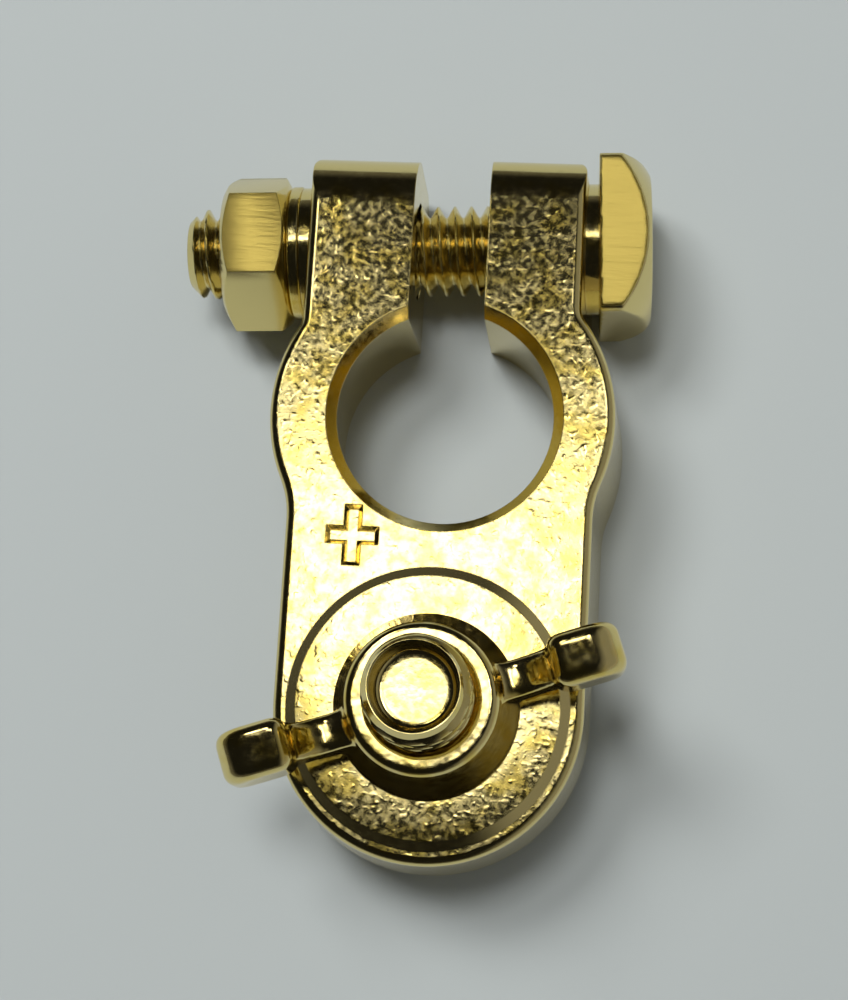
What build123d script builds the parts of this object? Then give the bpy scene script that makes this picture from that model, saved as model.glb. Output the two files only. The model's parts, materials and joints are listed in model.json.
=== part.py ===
from build123d import *
from math import cos, radians, sin, sqrt, tan
import os

# Battery terminal clamp: a cast ring with a split, tapered bore for the battery post, two ears
# drawn together by a pinch bolt, and a plate that carries an upright stud with a wing nut.
# Frame: the bore's axis is Z, the underside of the ring is z = 0, +Y runs towards the ears and
# +X towards the head of the pinch bolt. Sizes are in millimetres, angles in degrees.

# Post bore
bore_small_diameter = 15.9      # below the lead-in, at the upper end
bore_taper = 1 / 9              # change of diameter for each unit of height
lead_in_width = 0.75            # bevel at the bore's upper mouth, across
lead_in_height = 1.0            # and down

# Clamp body
body_height = 13.0
ring_diameter = 25.2            # at the upper face
ring_shift = -0.2               # the ring's outside stands off the bore's axis
wall_draft = 3.4                # the walls lean out downwards
plate_width = 22.1              # across the stud end, at the upper face
waist_radius = 7.0              # between the ring and the plate's sides
shoulder_radius = 1.6           # between the ring and each ear
edge_rounding = 0.65            # round the upper face
under_lift = 5.4                # the plate's underside stands this far above the ring's
under_slope_start = 13.2        # the underside starts to rise this far behind the bore
under_slope_run = 6.0

# Ears
ear_gap = 5.6
gap_shift = -0.3                # middle of the gap from the bore's axis
left_ear_width = 7.8
right_ear_width = 7.05
ear_reach = 20.6                # from the bore's axis to the ears' far ends
left_ear_rounding = 4.6         # upper far edge of each ear, in side view
right_ear_rounding = 3.8
ear_under_rounding = 2.0        # lower far edge of both ears
ear_corner_rounding = 1.6       # far corners, in plan
seat_diameter = 10.0            # cast seats round the bolt hole
left_seat_proud = 0.05          # past the leaning wall, where the washer comes nearest to it
right_seat_proud = 0.1          # the same, where the bolt's head comes nearest

# Round pad under the wing nut
stud_distance = 21.4            # from the bore's axis to the stud's
pad_diameter = 18.8             # its upper face
pad_height = 0.55
pad_flank = 0.7                 # the step down to the plate, across
pad_seat_diameter = 14.0        # flat under the wing nut; the rest falls off a little
pad_crown = 0.03                # this much lower at the pad's edge

# Polarity mark, sunk into the upper face
mark_x = -6.15
mark_y = -9.2
mark_length = 4.5               # along the clamp
mark_span = 3.9                 # across it
mark_width = 1.35               # of each bar, at the upper face
mark_depth = 0.45
mark_slope = 36.0               # its walls lean this far outwards

# Pinch bolt, its nut and its spring washer, nearly along X
bolt_diameter = 6.9
bolt_length = 31.4              # under the head
bolt_y = 14.4                   # where its axis crosses the plane x = 0
bolt_z = 6.7                    # and how far above the ring's underside
bolt_skew = 2.7                 # its hole runs this far off square, seen from above
bolt_tip_bevel = 0.9
hole_clearance = 0.25           # all round each bolt or stud in its hole
head_width = 12.0
head_thickness = 3.9
head_turn = 4.0                 # from square to the upper face, its top towards the bore
head_face_diameter = 11.0       # flat end left by the domed bevel
head_dome_radius = 11.2         # of that bevel, in section
head_corner_rounding = 0.5
washer_diameter = 10.2
washer_bore = 7.4
washer_thickness = 0.9
washer_slit = 0.7               # the split in the spring washer
washer_edge = 0.2
nut_width = 10.7                # across flats
nut_thickness = 5.1
nut_face_diameter = 9.7         # flat ring left by the bevels
nut_bevel = 30.0
thread_clearance = 0.05         # between a nut's bore and its screw

# Upright stud and its wing nut, along Z
stud_top = 26.2                 # above the ring's underside
stud_diameter = 7.4
stud_pitch_diameter = 6.7       # where the wing nut's thread runs
stud_step = 0.2                 # the full diameter starts this far above the wing nut
stud_tip_bevel = 0.62           # the end narrows by this all round
stud_tip_height = 1.3           # over this height
stud_cup_mouth = 6.0            # tapered hollow in the stud's end
stud_cup_floor = 5.0
stud_cup_depth = 1.8
stud_neck_width = 7.0           # square neck that stops the stud from turning
stud_neck_height = 2.2
stud_head_diameter = 12.4
stud_head_height = 2.6
stud_head_edge = 0.5
stud_head_recess = 0.2          # the head lies this far inside its pocket
pocket_clearance = 0.4          # round the stud's head
neck_clearance = 0.1
wing_hub_diameter = 13.3        # at the foot
wing_hub_height = 5.8
wing_foot_height = 0.5
wing_collar_diameter = 10.6     # at the top of the flank
wing_collar_rounding = 0.3
wing_mouth_diameter = 7.8       # bevel at the upper mouth of the thread
wing_mouth_depth = 0.65
wing_turn = 19.2                # the wings stand this far round from X
wing_shift = -0.37              # the wings' plane passes this far off the hub's axis, along Y
wing_span = 28.6
wing_web_thickness = 2.7
wing_tip_thickness = 3.7
wing_tip_length = 5.1
wing_tip_top = 7.4              # above the nut's foot
wing_tip_under = 2.0
wing_tip_crown = 2.2            # roundings in side view: the outer upper corner of each tip
wing_tip_shoulder = 1.0         # its inner upper corner
wing_tip_foot = 1.6             # and its two lower corners
wing_edge_rounding = 0.9        # along both faces of each tip
wing_valley_height = 4.5        # lowest point of the web's upper edge
wing_valley_reach = 6.9
wing_root_height = 1.0          # where the web's lower edge leaves the hub
wing_root_wall = 0.6            # each web reaches this near to the thread


# Working lengths of cutting shapes
past_corner = 0.2               # beyond the corners of a nut or head
past_all = 60.0                 # beyond the whole part

# What follows from those sizes
bore_small_radius = bore_small_diameter / 2
bore_straight_height = body_height - lead_in_height
bore_large_radius = bore_small_radius + bore_taper * bore_straight_height / 2
bore_mouth_radius = bore_small_radius + lead_in_width
ring_radius = ring_diameter / 2
plate_radius = plate_width / 2
waist_y = sqrt(ring_radius**2 - plate_radius**2)    # behind the bore, where ring and plate meet
left_ear_face = gap_shift - ear_gap / 2 - left_ear_width
right_ear_face = gap_shift + ear_gap / 2 + right_ear_width
left_lean = (body_height - bolt_z + washer_diameter / 2) * tan(radians(wall_draft))
left_lean += washer_diameter / 2 * tan(radians(bolt_skew))
head_reach = head_width / 2 * (cos(radians(head_turn)) + sin(radians(head_turn)))
right_lean = (body_height - bolt_z + head_reach) * tan(radians(wall_draft))
right_lean += head_reach * tan(radians(bolt_skew))
left_seat = left_ear_face - left_lean - left_seat_proud
right_seat = right_ear_face + right_lean + right_seat_proud
bolt_radius = bolt_diameter / 2
bolt_hole_radius = bolt_radius + hole_clearance
bolt_end = right_seat - bolt_length
washer_outer = left_seat - washer_thickness
nut_outer = washer_outer - nut_thickness
stud_radius = stud_diameter / 2
pad_radius = pad_diameter / 2
pad_top = body_height + pad_height
pocket_depth = stud_head_height + stud_head_recess
pocket_roof = under_lift + pocket_depth
nut_foot = pad_top
nut_top = nut_foot + wing_hub_height
wing_bore_radius = stud_pitch_diameter / 2 + thread_clearance
tip_start = wing_span / 2 - wing_tip_length
tip_middle = wing_span / 2 - wing_tip_length / 2
tip_centre_height = (wing_tip_top + wing_tip_under) / 2
wing_root_reach = wing_bore_radius + wing_root_wall
wing_plane = Plane(
    origin=(0, -stud_distance + wing_shift, nut_foot),
    x_dir=(cos(radians(wing_turn)), sin(radians(wing_turn)), 0),
    z_dir=(sin(radians(wing_turn)), -cos(radians(wing_turn)), 0),
)
stud_axis = Axis((0, -stud_distance, 0), (0, 0, 1))
along_bolt = Vector(cos(radians(bolt_skew)), sin(radians(bolt_skew)), 0)
across_bolt = Vector(-sin(radians(bolt_skew)), cos(radians(bolt_skew)), 0)
bolt_axis = Axis((0, bolt_y, bolt_z), along_bolt)
bolt_section = Plane(origin=(0, bolt_y, bolt_z), x_dir=along_bolt, z_dir=-across_bolt)
bolt_square = Plane(origin=(0, bolt_y, bolt_z), x_dir=across_bolt, z_dir=along_bolt)
head_limit = head_width * sqrt(2) / 2 + past_corner
head_drop = sqrt(head_dome_radius**2 - head_face_diameter**2 / 4)
head_drop -= sqrt(head_dome_radius**2 - head_limit**2)
nut_limit = nut_width / 2 / cos(radians(30)) + past_corner
nut_drop = (nut_limit - nut_face_diameter / 2) * tan(radians(nut_bevel))


# Limits of the body in side view: rounded ear ends and the raised underside of the stud end
with BuildPart() as side_limits:
    slope_end = -under_slope_start - under_slope_run
    for rounding, reach in ((left_ear_rounding, -past_all), (right_ear_rounding, past_all)):
        with BuildSketch(Plane.YZ):
            with BuildLine():
                Polyline(
                    (ear_reach - rounding, body_height),
                    (-past_all, body_height),
                    (-past_all, under_lift),
                    (slope_end, under_lift),
                    (-under_slope_start, 0),
                    (ear_reach - ear_under_rounding, 0),
                )
                RadiusArc(
                    (ear_reach - ear_under_rounding, 0),
                    (ear_reach, ear_under_rounding),
                    -ear_under_rounding,
                )
                Line((ear_reach, ear_under_rounding), (ear_reach, body_height - rounding))
                RadiusArc(
                    (ear_reach, body_height - rounding),
                    (ear_reach - rounding, body_height),
                    -rounding,
                )
            make_face()
        extrude(amount=reach)

# Clamp body: one casting
with BuildPart() as clamp_body:
    # outline of the upper face, drawn down with draft
    with BuildSketch(Plane.XY.offset(body_height)) as outline:
        with Locations((ring_shift, 0)):
            Circle(ring_radius)
        with Locations((0, -stud_distance / 2)):
            Rectangle(plate_width, stud_distance)
        with Locations((0, -stud_distance)):
            Circle(plate_radius)
        waist = outline.vertices().sort_by(lambda v: abs(v.Y + waist_y))[:2]
        fillet(waist, waist_radius)
        with Locations(((left_ear_face + right_ear_face) / 2, ear_reach / 2)):
            Rectangle(right_ear_face - left_ear_face, ear_reach)
        far_corners = outline.vertices().group_by(Axis.Y)[-1]
        fillet(far_corners, ear_corner_rounding)
        shoulders = outline.vertices().filter_by(lambda v: edge_rounding < v.Y < ring_radius)
        fillet(shoulders, shoulder_radius)
    extrude(amount=-body_height, taper=-wall_draft)
    upper_face = faces().filter_by(Plane.XY).sort_by(Axis.Z)[-1]
    fillet(upper_face.outer_wire().edges(), edge_rounding)
    add(side_limits.part, mode=Mode.INTERSECT)

    # seats for the bolt's head and for the washer
    with BuildSketch(bolt_square.offset(left_seat)):
        Circle(seat_diameter / 2)
    extrude(amount=left_ear_width / 2)
    with BuildSketch(bolt_square.offset(right_seat)):
        Circle(seat_diameter / 2)
    extrude(amount=-right_ear_width / 2)

    # round pad for the cable's ring and the wing nut
    with BuildSketch(Plane.XZ.offset(stud_distance)) as pad_profile:
        with BuildLine():
            Polyline(
                (0, body_height - pad_height),
                (pad_radius + pad_flank, body_height - pad_height),
                (pad_radius + pad_flank, body_height),
                (pad_radius, pad_top - pad_crown),
            )
            TangentArc(
                (pad_seat_diameter / 2, pad_top),
                (pad_radius, pad_top - pad_crown),
                tangent=(1, 0),
            )
            Polyline(
                (pad_seat_diameter / 2, pad_top),
                (0, pad_top),
                (0, body_height - pad_height),
            )
        make_face()
    revolve(axis=stud_axis)

    # tapered bore with its lead-in, and the split between the ears
    with BuildSketch(Plane.XZ) as bore_profile:
        with BuildLine():
            Polyline(
                (0, 0),
                (bore_large_radius, 0),
                (bore_small_radius, bore_straight_height),
                (bore_mouth_radius, body_height),
                (0, body_height),
                close=True,
            )
        make_face()
    revolve(axis=Axis.Z, mode=Mode.SUBTRACT)
    with BuildSketch():
        with Locations((gap_shift, past_all / 2)):
            Rectangle(ear_gap, past_all)
    extrude(amount=body_height, mode=Mode.SUBTRACT)

    # bolt hole through both ears
    with BuildSketch(bolt_square):
        Circle(bolt_hole_radius)
    extrude(amount=past_all, both=True, mode=Mode.SUBTRACT)

    # stud hole with its square neck and the pocket for its head
    with BuildSketch():
        with Locations((0, -stud_distance)):
            Circle(stud_radius + hole_clearance)
    extrude(amount=past_all, mode=Mode.SUBTRACT)
    with BuildSketch():
        with Locations((0, -stud_distance)):
            Rectangle(stud_neck_width + 2 * neck_clearance, stud_neck_width + 2 * neck_clearance)
    extrude(amount=pocket_roof + stud_neck_height + neck_clearance, mode=Mode.SUBTRACT)
    with BuildSketch():
        with Locations((0, -stud_distance)):
            Circle(stud_head_diameter / 2 + pocket_clearance)
    extrude(amount=pocket_roof, mode=Mode.SUBTRACT)

    # polarity mark
    with BuildSketch(Plane.XY.offset(body_height)):
        with Locations((mark_x, mark_y)):
            Rectangle(mark_span, mark_width)
            Rectangle(mark_width, mark_length)
    extrude(amount=-mark_depth, taper=mark_slope, mode=Mode.SUBTRACT)

# Stud: head in the pocket, square neck, threaded shank with a hollow end
with BuildPart() as terminal_stud:
    with BuildSketch(Plane.XZ.offset(stud_distance)) as stud_profile:
        with BuildLine():
            Polyline(
                (0, pocket_roof - stud_head_height),
                (stud_head_diameter / 2 - stud_head_edge, pocket_roof - stud_head_height),
                (stud_head_diameter / 2, pocket_roof - stud_head_height + stud_head_edge),
                (stud_head_diameter / 2, pocket_roof),
                (stud_pitch_diameter / 2, pocket_roof),
                (stud_pitch_diameter / 2, nut_top + stud_step),
                (stud_radius, nut_top + stud_step),
                (stud_radius, stud_top - stud_tip_height),
                (stud_radius - stud_tip_bevel, stud_top),
                (stud_cup_mouth / 2, stud_top),
                (stud_cup_floor / 2, stud_top - stud_cup_depth),
                (0, stud_top - stud_cup_depth),
                close=True,
            )
        make_face()
    revolve(axis=stud_axis)
    with BuildSketch(Plane.XY.offset(pocket_roof)):
        with Locations((0, -stud_distance)):
            Rectangle(stud_neck_width, stud_neck_width)
    extrude(amount=stud_neck_height)

# Rounded tips of the two wings
with BuildPart() as wing_tips:
    with BuildSketch(wing_plane):
        with Locations((tip_middle, tip_centre_height)):
            Rectangle(wing_tip_length, wing_tip_top - wing_tip_under)
        fillet(vertices().group_by(Axis.Y)[0], wing_tip_foot)
        fillet(vertices().group_by(Axis.Y)[-1].sort_by(Axis.X)[0], wing_tip_shoulder)
        fillet(vertices().sort_by(Axis.Y)[-2:].sort_by(Axis.X)[-1], wing_tip_crown)
        mirror(about=Plane.YZ)
    extrude(amount=wing_tip_thickness / 2, both=True)
    fillet(faces().filter_by(wing_plane).edges(), wing_edge_rounding)

# Wing nut: a flared hub, two webs and their tips
with BuildPart() as wing_nut:
    with BuildSketch(Plane.XZ.offset(stud_distance)) as hub_profile:
        with BuildLine():
            Polyline(
                (wing_bore_radius, nut_foot),
                (wing_hub_diameter / 2, nut_foot),
                (wing_hub_diameter / 2, nut_foot + wing_foot_height),
                (wing_collar_diameter / 2, nut_top - wing_collar_rounding),
                (wing_collar_diameter / 2 - wing_collar_rounding, nut_top),
                (wing_mouth_diameter / 2, nut_top),
                (wing_bore_radius, nut_top - wing_mouth_depth),
                close=True,
            )
        make_face()
    revolve(axis=stud_axis)

    # webs, drawn on the upright plane through both wings
    with BuildSketch(wing_plane):
        with BuildLine():
            Polyline(
                (wing_root_reach, wing_hub_height - wing_collar_rounding),
                (wing_root_reach, wing_root_height),
                (wing_hub_diameter / 2 - wing_foot_height, wing_root_height),
                (tip_middle, wing_tip_under + wing_edge_rounding),
                (tip_middle, wing_tip_top - wing_edge_rounding),
                (tip_start + wing_edge_rounding, wing_tip_top - wing_edge_rounding),
            )
            Spline(
                (tip_start + wing_edge_rounding, wing_tip_top - wing_edge_rounding),
                (wing_valley_reach, wing_valley_height),
                (wing_root_reach, wing_hub_height - wing_collar_rounding),
            )
        make_face()
        mirror(about=Plane.YZ)
    extrude(amount=wing_web_thickness / 2, both=True)
    add(wing_tips.part)

# Pinch bolt: square head with a bevelled end, held from turning by the ring beside it
with BuildPart() as pinch_bolt:
    with BuildSketch(bolt_square.offset(right_seat)):
        Rectangle(head_width, head_width, rotation=head_turn)
        fillet(vertices(), head_corner_rounding)
    extrude(amount=head_thickness)
    with BuildSketch(bolt_section):
        with BuildLine():
            RadiusArc(
                (right_seat + head_thickness - head_drop, head_limit),
                (right_seat + head_thickness, head_face_diameter / 2),
                head_dome_radius,
            )
            Polyline(
                (right_seat + head_thickness, head_face_diameter / 2),
                (right_seat + head_thickness, 0),
                (right_seat, 0),
                (right_seat, head_limit),
                (right_seat + head_thickness - head_drop, head_limit),
            )
        make_face()
    revolve(axis=bolt_axis, mode=Mode.INTERSECT)
    with BuildSketch(bolt_section):
        with BuildLine():
            Polyline(
                (right_seat, 0),
                (right_seat, bolt_radius),
                (bolt_end + bolt_tip_bevel, bolt_radius),
                (bolt_end, bolt_radius - bolt_tip_bevel),
                (bolt_end, 0),
                close=True,
            )
        make_face()
    revolve(axis=bolt_axis)

# Spring washer: a split ring between the nut and the ear
with BuildPart() as spring_washer:
    with BuildSketch(bolt_square.offset(washer_outer)):
        Circle(washer_diameter / 2)
        Circle(washer_bore / 2, mode=Mode.SUBTRACT)
        with Locations((0, -washer_diameter / 2)):
            Rectangle(washer_slit, washer_diameter, mode=Mode.SUBTRACT)
    extrude(amount=washer_thickness)
    rims = edges().filter_by(GeomType.CIRCLE).sort_by(SortBy.RADIUS)[-2:]
    fillet(rims, washer_edge)

# Hex nut, one flat facing up, bevelled at both ends
with BuildPart() as pinch_nut:
    with BuildSketch(bolt_square.offset(nut_outer)):
        RegularPolygon(nut_width / 2, 6, major_radius=False)
    extrude(amount=nut_thickness)
    with BuildSketch(bolt_section):
        with BuildLine():
            Polyline(
                (nut_outer, bolt_radius + thread_clearance),
                (nut_outer, nut_face_diameter / 2),
                (nut_outer + nut_drop, nut_limit),
                (washer_outer - nut_drop, nut_limit),
                (washer_outer, nut_face_diameter / 2),
                (washer_outer, bolt_radius + thread_clearance),
                close=True,
            )
        make_face()
    revolve(axis=bolt_axis, mode=Mode.INTERSECT)

os.makedirs("parts", exist_ok=True)
clamp_body.part.label = "clamp_body"
export_step(clamp_body.part, "parts/clamp_body.step")
terminal_stud.part.label = "terminal_stud"
export_step(terminal_stud.part, "parts/terminal_stud.step")
wing_nut.part.label = "wing_nut"
export_step(wing_nut.part, "parts/wing_nut.step")
pinch_bolt.part.label = "pinch_bolt"
export_step(pinch_bolt.part, "parts/pinch_bolt.step")
spring_washer.part.label = "spring_washer"
export_step(spring_washer.part, "parts/spring_washer.step")
pinch_nut.part.label = "pinch_nut"
export_step(pinch_nut.part, "parts/pinch_nut.step")
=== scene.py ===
import json
import math

import bpy
from mathutils import Matrix, Vector


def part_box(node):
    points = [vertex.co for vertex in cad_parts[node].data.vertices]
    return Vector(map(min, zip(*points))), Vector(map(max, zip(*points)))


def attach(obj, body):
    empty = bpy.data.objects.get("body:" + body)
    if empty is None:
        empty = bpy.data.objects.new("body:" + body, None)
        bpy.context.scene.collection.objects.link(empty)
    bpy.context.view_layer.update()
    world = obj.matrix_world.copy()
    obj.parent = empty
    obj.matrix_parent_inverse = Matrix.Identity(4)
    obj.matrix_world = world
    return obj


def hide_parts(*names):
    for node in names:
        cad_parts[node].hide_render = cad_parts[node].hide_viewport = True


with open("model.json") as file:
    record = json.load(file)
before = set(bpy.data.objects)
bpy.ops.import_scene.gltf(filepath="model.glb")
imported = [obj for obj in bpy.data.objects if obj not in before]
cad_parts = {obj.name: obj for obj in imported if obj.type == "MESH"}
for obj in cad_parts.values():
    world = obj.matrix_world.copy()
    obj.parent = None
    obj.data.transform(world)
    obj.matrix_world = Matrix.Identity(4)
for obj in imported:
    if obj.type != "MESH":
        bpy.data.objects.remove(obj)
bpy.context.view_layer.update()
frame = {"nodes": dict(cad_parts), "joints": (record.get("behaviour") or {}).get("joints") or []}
nodes = frame["nodes"]
joints = {joint["name"]: joint for joint in frame["joints"]}


# Camera: it looks almost straight down on the clamp as it lies on its ring, from a little
# behind the stud, with the ears at the top of the frame.
camera_data = bpy.data.cameras.new("camera")
camera_data.lens = 77.26
camera_data.sensor_width = 36
camera_data.clip_start = 0.01
camera = bpy.data.objects.new("camera", camera_data)
camera.location = (0.01144, -0.03679, 0.16436)
camera.rotation_euler = (math.radians(11.556), math.radians(4.066), math.radians(3.304))
bpy.context.collection.objects.link(camera)
bpy.context.scene.camera = camera


# Clamp body: one casting, taken to be brass, barrel-finished and gold-plated. Its upper face
# keeps the pebbled skin of the mould; the plating is glossy all over.
class Value:
    """A shader socket that takes part in sums as a number does."""

    def __init__(self, finish, socket):
        self.finish = finish
        self.socket = socket

    def maths(self, operation, *terms):
        return self.finish.node("ShaderNodeMath", {"operation": operation}, dict(enumerate(terms)))

    def __add__(self, other):
        return self.maths("ADD", self, other)

    def __mul__(self, other):
        return self.maths("MULTIPLY", self, other)

    __radd__ = __add__
    __rmul__ = __mul__

    def ramp(self, low, high, start=0.0, end=1.0):
        """Goes smoothly from start to end as the value goes from low to high."""
        inputs = {"Value": self, "From Min": low, "From Max": high, "To Min": start, "To Max": end}
        return self.finish.node("ShaderNodeMapRange", {"interpolation_type": "SMOOTHSTEP"}, inputs)


class Finish:
    """The nodes of a material or of the room, on the way to being made."""

    def __init__(self, owner, shader, **constants):
        owner.use_nodes = True
        self.owner = owner
        self.tree = owner.node_tree
        self.shader = self.tree.nodes[shader]
        for socket, value in constants.items():
            self.shader.inputs[socket.replace("_", " ")].default_value = value

    def node(self, kind, settings=None, inputs=None, output=0):
        made = self.tree.nodes.new(kind)
        for setting, value in (settings or {}).items():
            setattr(made, setting, value)
        for socket, value in (inputs or {}).items():
            if isinstance(value, Value):
                self.tree.links.new(value.socket, made.inputs[socket])
            else:
                made.inputs[socket].default_value = value
        return Value(self, made.outputs[output])

    def place(self):
        return self.node("ShaderNodeTexCoord", output="Object")

    def noise(self, size, detail=2.0, place=None):
        inputs = {"Vector": place or self.place(), "Scale": 1 / size, "Detail": detail}
        return self.node("ShaderNodeTexNoise", None, inputs, output="Fac")

    def mix(self, mask, first, second):
        """Goes from the first colour to the second; a colour Mix has its sockets at these places."""
        return self.node("ShaderNodeMix", {"data_type": "RGBA"}, {0: mask, 6: first, 7: second}, output=2)

    def facing(self, way):
        """How far the surface looks along an axis of the object: 1 is straight along it."""
        normal = self.node("ShaderNodeTexCoord", output="Normal")
        return self.node("ShaderNodeSeparateXYZ", None, {0: normal}, output=way)

    def link(self, **fields):
        for socket, value in fields.items():
            self.tree.links.new(value.socket, self.shader.inputs[socket.replace("_", " ")])

    def bump(self, height, depth, edge=None):
        """Raises the surface by height, from 0 to 1, times depth in metres, over softened edges."""
        inputs = {"Height": height, "Distance": depth, "Strength": 1.0}
        if edge:
            inputs["Normal"] = self.node("ShaderNodeBevel", {"samples": 4}, {"Radius": edge})
        self.link(Normal=self.node("ShaderNodeBump", None, inputs))


def metal(name):
    return Finish(bpy.data.materials.new(name), "Principled BSDF", Metallic=1.0)


GOLD = (0.82, 0.68, 0.29, 1)
DEEP_GOLD = (0.78, 0.60, 0.15, 1)

cast = metal("cast_gold")
moulded = cast.facing("Z").ramp(0.9, 0.985, 0.0, 1.0)
pebbles = cast.noise(0.0006, 1.0).ramp(0.5, 0.8)
grains = cast.noise(0.0003, 1.0).ramp(0.55, 0.85)
waves = cast.noise(0.003, 1.0)
skin = (pebbles + grains * 0.3) * moulded + waves * 3.5
tone = cast.noise(0.0016, 4.0).ramp(0.4, 0.65)
cast.link(
    Base_Color=cast.mix(tone * moulded, GOLD, DEEP_GOLD),
    Roughness=cast.noise(0.0005).ramp(0.3, 0.7, 0.07, 0.17),
)
cast.bump(skin, 0.000005, edge=0.00015)
nodes["clamp_body"].data.materials.clear()
nodes["clamp_body"].data.materials.append(cast.owner)


# Stud: a carriage-type screw in plated brass, with a rolled thread and a hollow end. Its head and
# square neck lie in a pocket under the plate, so only the threaded end shows above the wing nut.
def start_mesh(name):
    bpy.ops.object.select_all(action="DESELECT")
    mesh = bpy.data.meshes.new(name)
    made = bpy.data.objects.new(name, mesh)
    bpy.context.collection.objects.link(made)
    bpy.context.view_layer.objects.active = made
    made.select_set(True)
    return made


def lathe(name, profile, steps=96):
    """Spins a profile of (radius, height) points round Z; both its ends lie on the axis."""
    made = start_mesh(name)
    points = [Vector((radius, 0, height)) for radius, height in profile]
    edges = [(n, n + 1) for n in range(len(points) - 1)]
    made.data.from_pydata(points, edges, [])
    bpy.ops.object.mode_set(mode="EDIT")
    bpy.ops.mesh.select_all(action="SELECT")
    bpy.ops.mesh.spin(steps=steps, angle=2 * math.pi, center=(0, 0, 0), axis=(0, 0, 1))
    bpy.ops.mesh.select_all(action="SELECT")
    bpy.ops.mesh.remove_doubles(threshold=1e-7)
    bpy.ops.mesh.normals_make_consistent(inside=False)
    bpy.ops.object.mode_set(mode="OBJECT")
    return made


def roll_thread(made, start, end, crest, depth, pitch):
    """Presses a right-handed 60-degree thread into a lathed shank between two heights."""
    for vertex in made.data.vertices:
        radius = math.hypot(vertex.co.x, vertex.co.y)
        if radius < crest - depth or not start <= vertex.co.z <= end:
            continue
        turn = math.atan2(vertex.co.y, vertex.co.x) / (2 * math.pi)
        from_crest = 2 * abs((vertex.co.z / pitch - turn) % 1 - 0.5)
        tooth = min(max((0.875 - from_crest) / 0.75, 0), 1)
        limit = crest - depth * (1 - tooth)
        if radius > limit:
            vertex.co.x *= limit / radius
            vertex.co.y *= limit / radius


stud_low, stud_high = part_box("terminal_stud")
stud_x = (stud_low[0] + stud_high[0]) / 2
stud_y = (stud_low[1] + stud_high[1]) / 2
stud_crest = 0.0037
stud_pitch = 0.0254 / 18
stud_thread_depth = 0.00078
stud_in_nut = 0.00335
stud_tip_radius = 0.00308
stud_tip_height = 0.0013
cup_mouth = 0.003
cup_floor = 0.0026
cup_depth = 0.0017
stud_head_radius = (stud_high[0] - stud_low[0]) / 2
stud_head_top = stud_low[2] + 0.0026
neck_top = stud_head_top + 0.0022
neck_width = 0.007
wing_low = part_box("wing_nut")[0]
thread_free = wing_low[2] + 0.006
thread_rows = 130
shank = []
for row in range(thread_rows + 1):
    height = neck_top + (stud_high[2] - neck_top) * row / thread_rows
    bevelled = stud_tip_radius + (stud_high[2] - height) / stud_tip_height * (stud_crest - stud_tip_radius)
    shank.append((min(stud_crest if height > thread_free else stud_in_nut, bevelled), height))
profile = [
    (0, stud_low[2]),
    (stud_head_radius - 0.0005, stud_low[2]),
    (stud_head_radius, stud_low[2] + 0.0005),
    (stud_head_radius, stud_head_top),
    (stud_in_nut, stud_head_top),
] + shank + [
    (cup_mouth, stud_high[2]),
    (cup_mouth - 0.00006, stud_high[2] - 0.00004),
    (cup_floor + 0.0001, stud_high[2] - cup_depth + 0.0003),
    (cup_floor, stud_high[2] - cup_depth + 0.00012),
    (cup_floor - 0.00015, stud_high[2] - cup_depth + 0.00003),
    (cup_floor - 0.0003, stud_high[2] - cup_depth),
    (cup_floor - 0.0006, stud_high[2] - cup_depth),
    (0, stud_high[2] - cup_depth - 0.00005),
]
stud = lathe("stud_threaded", profile)
thread_end = stud_high[2] - 0.0004  # the lip round the hollow is left whole
roll_thread(stud, neck_top, thread_end, stud_crest, stud_thread_depth, stud_pitch)
bpy.ops.object.mode_set(mode="EDIT")
bpy.ops.mesh.select_all(action="DESELECT")
bpy.ops.mesh.primitive_cube_add(size=1, location=(0, 0, (stud_head_top + neck_top) / 2))
bpy.ops.transform.resize(value=(neck_width, neck_width, neck_top - stud_head_top))
bpy.ops.object.mode_set(mode="OBJECT")
stud.data.transform(Matrix.Translation((stud_x, stud_y, 0)))
stud.data.shade_smooth()
stud.select_set(True)
bpy.ops.object.shade_smooth_by_angle(angle=math.radians(35))

turned = metal("turned_gold")
drawn = turned.noise(0.0004, 3.0).ramp(0.3, 0.7)
turned.link(
    Base_Color=turned.mix(turned.noise(0.0015, 2.0).ramp(0.4, 0.7), GOLD, DEEP_GOLD),
    Roughness=drawn.ramp(0.0, 1.0, 0.09, 0.18),
)
turned.bump(drawn, 0.000002)
stud.data.materials.append(turned.owner)
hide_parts("terminal_stud")
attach(stud, "clamp")


# Wing nut: a small brass casting with a flared hub, two thin webs and thick rounded tips, all
# run together by the mould's fillets. It is tumbled smooth before plating.
def copy_of(node, name):
    made = start_mesh(name)
    made.data = nodes[node].data.copy()
    made.data.materials.clear()
    bpy.ops.object.mode_set(mode="EDIT")
    bpy.ops.mesh.select_all(action="SELECT")
    bpy.ops.mesh.remove_doubles(threshold=1e-6)
    bpy.ops.object.mode_set(mode="OBJECT")
    return made


def apply_modifier(made, kind, **settings):
    modifier = made.modifiers.new(kind.lower(), kind)
    for setting, value in settings.items():
        setattr(modifier, setting, value)
    bpy.context.view_layer.objects.active = made
    bpy.ops.object.modifier_apply(modifier=modifier.name)


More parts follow.
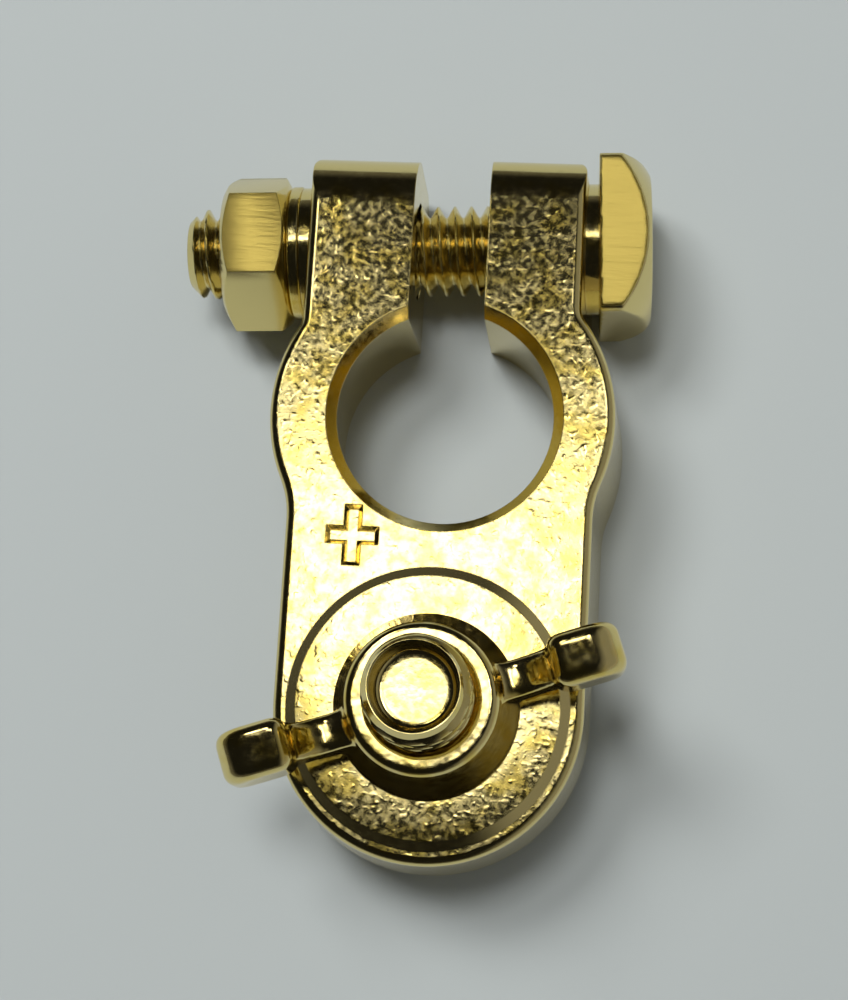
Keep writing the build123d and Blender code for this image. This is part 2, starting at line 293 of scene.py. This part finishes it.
wing = copy_of("wing_nut", "wing_nut_cast")
apply_modifier(wing, "REMESH", mode="VOXEL", voxel_size=0.00013)
apply_modifier(wing, "SMOOTH", factor=0.5, iterations=4)
from_hub = [math.hypot(v.co.x - stud_x, v.co.y - stud_y) for v in wing.data.vertices]
web_start, web_middle, web_end = 0.0054, 0.0068, 0.0094  # reach from the hub's axis
wings = wing.vertex_groups.new(name="wings")
webs = wing.vertex_groups.new(name="webs")
for index, reach in enumerate(from_hub):
    wings.add([index], min(max((reach - web_start) / 0.0008, 0), 1), "REPLACE")
    outward = min((reach - web_start) / (web_middle - web_start), (web_end - reach) / 0.001)
    webs.add([index], min(max(outward, 0), 1), "REPLACE")
apply_modifier(wing, "SMOOTH", factor=0.5, iterations=16, vertex_group="wings")
apply_modifier(wing, "SMOOTH", factor=0.5, iterations=60, vertex_group="webs")
wing.vertex_groups.clear()
wing_turn = math.radians(19.2)
tip_start, tip_middle, tip_lean = 0.0088, 0.0117, 0.075
for vertex in wing.data.vertices:
    along_wing = (vertex.co.x - stud_x) * math.cos(wing_turn) + (vertex.co.y - stud_y) * math.sin(wing_turn)
    if abs(along_wing) > tip_start:
        tip_y = stud_y + math.copysign(tip_middle, along_wing) * math.sin(wing_turn)
        blend = min((abs(along_wing) - tip_start) / 0.0008, 1)
        vertex.co.z += tip_lean * (vertex.co.y - tip_y) * blend
wing.data.shade_smooth()

smooth_cast = metal("tumbled_gold")
ripple = smooth_cast.noise(0.0009, 1.0)
smooth_cast.link(
    Base_Color=smooth_cast.mix(smooth_cast.noise(0.002, 2.0).ramp(0.4, 0.7), GOLD, DEEP_GOLD),
    Roughness=smooth_cast.noise(0.0006, 2.0).ramp(0.3, 0.7, 0.08, 0.16),
)
smooth_cast.bump(ripple, 0.00002)
wing.data.materials.append(smooth_cast.owner)
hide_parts("wing_nut")
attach(wing, "wing")


# Pinch bolt: a square-headed screw in plated brass, with a rolled thread. The head keeps the
# bevelled end and the straight grain of the drawn bar it was cut from.
bolt_joint = joints["nut_turn"]
bolt_point = Vector(bolt_joint["pos_m"])
bolt_way = -Vector(bolt_joint["axis"])
bolt_turn = Vector((0, 0, 1)).rotation_difference(bolt_way).to_matrix().to_4x4()
bolt_crest = 0.00345
bolt_pitch = 0.00127
bolt_thread_depth = 0.00085
along = [(Vector(v.co) - bolt_point).dot(bolt_way) for v in nodes["pinch_bolt"].data.vertices]
bolt_start, bolt_stop = min(along), max(along)
head_thickness = 0.0039
under_head = bolt_stop - head_thickness
tip_bevel = 0.0009

bolt = copy_of("pinch_bolt", "bolt_threaded")
bpy.ops.object.mode_set(mode="EDIT")
bpy.ops.mesh.select_all(action="SELECT")
cut = bolt_point + bolt_way * (under_head + 0.00002)
bpy.ops.mesh.bisect(plane_co=cut, plane_no=bolt_way, use_fill=True, clear_inner=True)
bpy.ops.object.mode_set(mode="OBJECT")
apply_modifier(bolt, "REMESH", mode="VOXEL", voxel_size=0.00011)
apply_modifier(bolt, "SMOOTH", factor=0.5, iterations=10)

shank = [(0, bolt_start)]
shank_rows = 360
for row in range(shank_rows + 1):
    height = bolt_start + (under_head + 0.0001 - bolt_start) * row / shank_rows
    bevelled = bolt_crest - tip_bevel + (height - bolt_start)
    shank.append((min(bolt_crest, bevelled), height))
shank.append((0, under_head + 0.0001))
screw = lathe("bolt_shank", shank, steps=72)
roll_thread(screw, bolt_start, under_head, bolt_crest, bolt_thread_depth, bolt_pitch)
screw.data.transform(Matrix.Translation(bolt_point) @ bolt_turn)
bpy.ops.object.select_all(action="DESELECT")
screw.select_set(True)
bolt.select_set(True)
bpy.context.view_layer.objects.active = bolt
bpy.ops.object.join()
bpy.ops.object.shade_smooth_by_angle(angle=math.radians(35))

rolled = metal("rolled_gold")
squeeze = rolled.node("ShaderNodeMapping", None, {0: rolled.place(), "Scale": (0.12, 1.0, 1.0)})
grain = rolled.noise(0.00035, 3.0, squeeze)
streaks = rolled.noise(0.0012, 2.0, squeeze)
# Faces that look up, the top flats of the nut and the bolt head, are painted the deeper gold. This is a
# painted highlight colour for the lamp on those flats. Their rougher finish and grain are real.
flats_and_painted_highlight = rolled.facing("Z").ramp(0.85, 0.97)
rolled.link(
    Base_Color=rolled.mix(flats_and_painted_highlight, GOLD, DEEP_GOLD),
    Roughness=flats_and_painted_highlight.ramp(0.0, 1.0, 0.2, 0.36),
)
rolled.bump((grain + streaks) * flats_and_painted_highlight, 0.000028, edge=0.0001)
bolt.data.materials.append(rolled.owner)
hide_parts("pinch_bolt")
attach(bolt, "clamp")


# Nut: a hex nut in plated brass, with one flat up. It runs on the end of the pinch bolt, and
# drawing it up closes the ears on the battery post.
nut = copy_of("pinch_nut", "hex_nut")
bpy.ops.object.mode_set(mode="EDIT")
bpy.ops.mesh.select_all(action="SELECT")
bpy.ops.mesh.dissolve_limited(angle_limit=math.radians(1))
bpy.ops.object.mode_set(mode="OBJECT")
apply_modifier(nut, "BEVEL", width=0.0001, segments=2, limit_method="ANGLE", angle_limit=math.radians(22))
bpy.ops.object.mode_set(mode="EDIT")
bpy.ops.mesh.select_all(action="SELECT")
bpy.ops.mesh.remove_doubles(threshold=5e-6)
bpy.ops.mesh.dissolve_degenerate(threshold=5e-6)
bpy.ops.object.mode_set(mode="OBJECT")
bpy.ops.object.shade_smooth_by_angle(angle=math.radians(35))
nut.data.materials.append(rolled.owner)
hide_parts("pinch_nut")
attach(nut, "nut")


# Spring washer: a split ring of flat wire, plated as the rest is. It sits loose on the bolt
# between the nut and the ear, and moves along with the nut.
nodes["spring_washer"].data.materials.clear()
nodes["spring_washer"].data.materials.append(turned.owner)


# Floor: a plain pale board, not part of the object.
bpy.ops.object.select_all(action="DESELECT")
bpy.ops.mesh.primitive_plane_add(size=1.6, location=(0, 0, 0))
floor = bpy.context.object
floor.name = "floor"
board = Finish(bpy.data.materials.new("pale_board"), "Principled BSDF", Roughness=0.9)
board.shader.inputs["Base Color"].default_value = (0.55, 0.595, 0.59, 1)
floor.data.materials.append(board.owner)


# Light: a soft key lamp from the far left, a lamp overhead and a wide fill light the floor. The
# metal mirrors a dim room: one softbox overhead, a small panel to each side of it that lights
# the tops of the nut and the bolt head, and a paler wall on the right.
for name, place, size, watts in (
    ("key", (-0.24, 0.22, 0.6), 0.22, 1.9),
    ("overhead", (-0.05, 0.085, 0.6), 0.12, 1.0),
    ("fill", (0.0, 0.0, 1.2), 1.5, 1.6),
):
    lamp_data = bpy.data.lights.new(name, "AREA")
    lamp_data.size = size
    lamp_data.energy = watts
    lamp = bpy.data.objects.new(name, lamp_data)
    lamp.location = place
    lamp.rotation_euler = lamp.location.to_track_quat("Z", "Y").to_euler()
    lamp.visible_glossy = False
    bpy.context.collection.objects.link(lamp)

room = bpy.data.worlds.new("room")
bpy.context.scene.world = room
sky = Finish(room, "Background", Color=(1.0, 0.99, 0.96, 1))
towards = sky.node("ShaderNodeTexCoord", output="Generated")
across = sky.node("ShaderNodeSeparateXYZ", None, {0: towards}, output="X")
beyond = sky.node("ShaderNodeSeparateXYZ", None, {0: towards}, output="Y")
upward = sky.node("ShaderNodeSeparateXYZ", None, {0: towards}, output="Z")


def panel(left, right, near, far, soft):
    """A soft-edged patch of light, by the directions it covers."""
    wide = across.ramp(left - soft, left + soft) * across.ramp(right - soft, right + soft, 1.0, 0.0)
    return wide * beyond.ramp(near - soft, near + soft) * beyond.ramp(far - soft, far + soft, 1.0, 0.0)


softbox = panel(-0.18, 0.0, 0.08, 0.23, 0.035)
windows = panel(-0.3, -0.185, 0.26, 0.42, 0.015) + panel(0.04, 0.12, 0.1, 0.28, 0.015)
right_wall = across.ramp(0.25, 0.7)
low = upward.ramp(0.0, 0.35, 1.0, 0.0)
room_light = right_wall * 0.22 + low * 0.1 + 0.01
sky.link(Strength=softbox * softbox * 3.2 + softbox + windows * 6.5 + room_light)

bpy.context.scene.view_settings.view_transform = "Standard"
